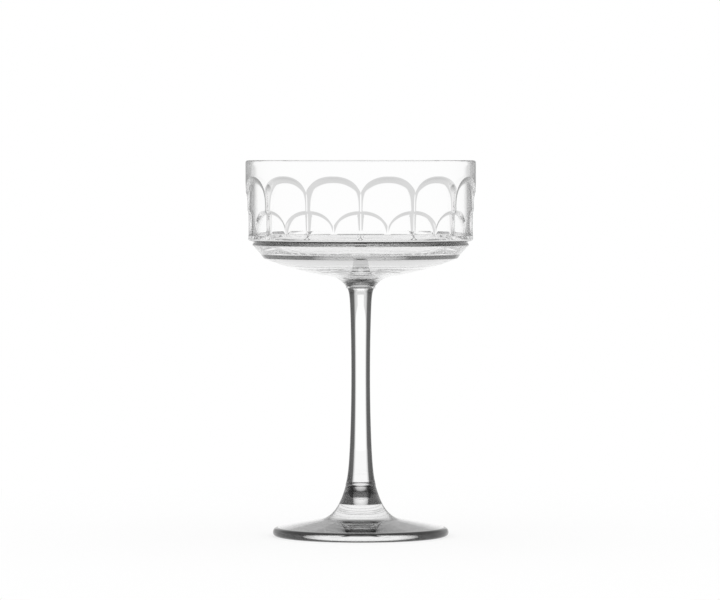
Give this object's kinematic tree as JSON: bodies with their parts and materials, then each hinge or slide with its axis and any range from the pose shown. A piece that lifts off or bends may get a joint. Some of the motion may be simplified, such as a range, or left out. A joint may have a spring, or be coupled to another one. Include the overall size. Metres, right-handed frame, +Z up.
{
  "type": "champagne glass",
  "caption": "Stemmed champagne glass in clear pressed glass: a wide, low bowl with an arcade of round arches in relief, on a slim waisted stem and a round foot.",
  "frame": {"origin": "centre of the foot's contact ring, on the surface that the glass stands on", "axes": "+Z up along the axis that the glass is turned about, -Y towards the viewer, through a pier between two arches"},
  "size_m": [0.095, 0.095, 0.155],
  "materials": {
    "clear_glass": "clear, colourless, fire-polished"
  },
  "bodies": {
    "root": {"foot": "clear_glass", "stem": "clear_glass", "bowl": "clear_glass"}
  },
  "joints": []
}
